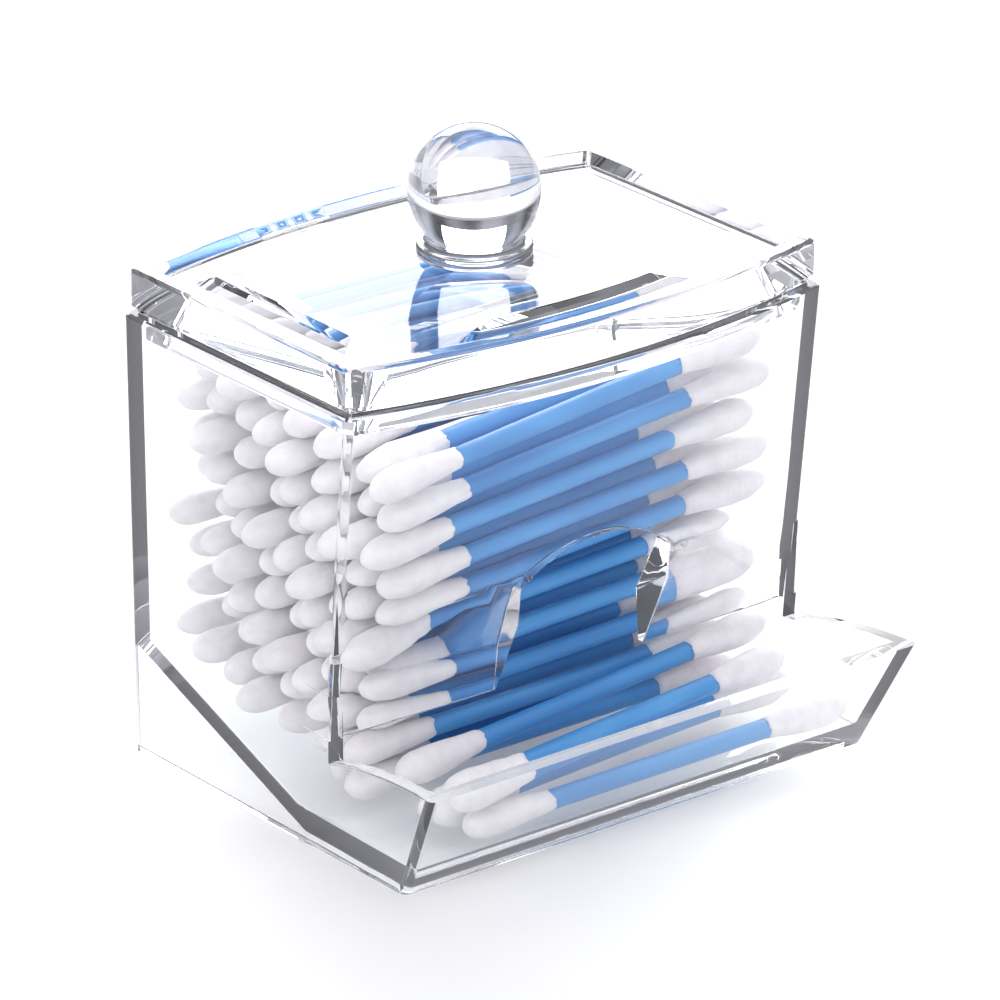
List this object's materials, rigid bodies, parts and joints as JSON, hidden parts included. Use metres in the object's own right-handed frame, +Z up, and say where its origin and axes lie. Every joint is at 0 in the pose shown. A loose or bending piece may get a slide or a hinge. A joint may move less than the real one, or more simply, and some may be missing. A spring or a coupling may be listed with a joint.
{
  "type": "cotton swab dispenser",
  "caption": "Clear box with a lift-off lid and ball knob, a finger notch in front and a tray that the swabs slide into.",
  "frame": {"origin": "centre of the plan outline, on the table", "axes": "+Z up; -Y towards the front, where the tray is; X along the front"},
  "size_m": [0.0934, 0.0829, 0.099],
  "materials": {
    "clear_plastic": "clear, polished",
    "clear_knob": "clear, polished",
    "blue_stick": "smooth, slightly see-through",
    "cotton": "wound cotton, matt"
  },
  "bodies": {
    "box_body": {"box": "clear_plastic", "heap_row_1_sticks": "blue_stick", "heap_row_1_tips": "cotton", "heap_row_2_sticks": "blue_stick", "heap_row_2_tips": "cotton", "heap_row_3_sticks": "blue_stick", "heap_row_3_tips": "cotton", "heap_row_4_sticks": "blue_stick", "heap_row_4_tips": "cotton", "heap_row_5_sticks": "blue_stick", "heap_row_5_tips": "cotton", "heap_row_6_sticks": "blue_stick", "heap_row_6_tips": "cotton", "heap_row_7_sticks": "blue_stick", "heap_row_7_tips": "cotton", "heap_row_8_sticks": "blue_stick", "heap_row_8_tips": "cotton", "tray_swab_1_sticks": "blue_stick", "tray_swab_1_tips": "cotton", "tray_swab_2_sticks": "blue_stick", "tray_swab_2_tips": "cotton", "tray_swab_3_sticks": "blue_stick", "tray_swab_3_tips": "cotton", "tray_swab_4_sticks": "blue_stick", "tray_swab_4_tips": "cotton"},
    "lid_body": {"lid": "clear_plastic", "knob": "clear_knob"}
  },
  "joints": [
    {"name": "lid_lift", "type": "slide", "parent": "box_body", "child": "lid_body", "axis": [0, 0, 1], "range_m": [0, 0.04]}
  ]
}
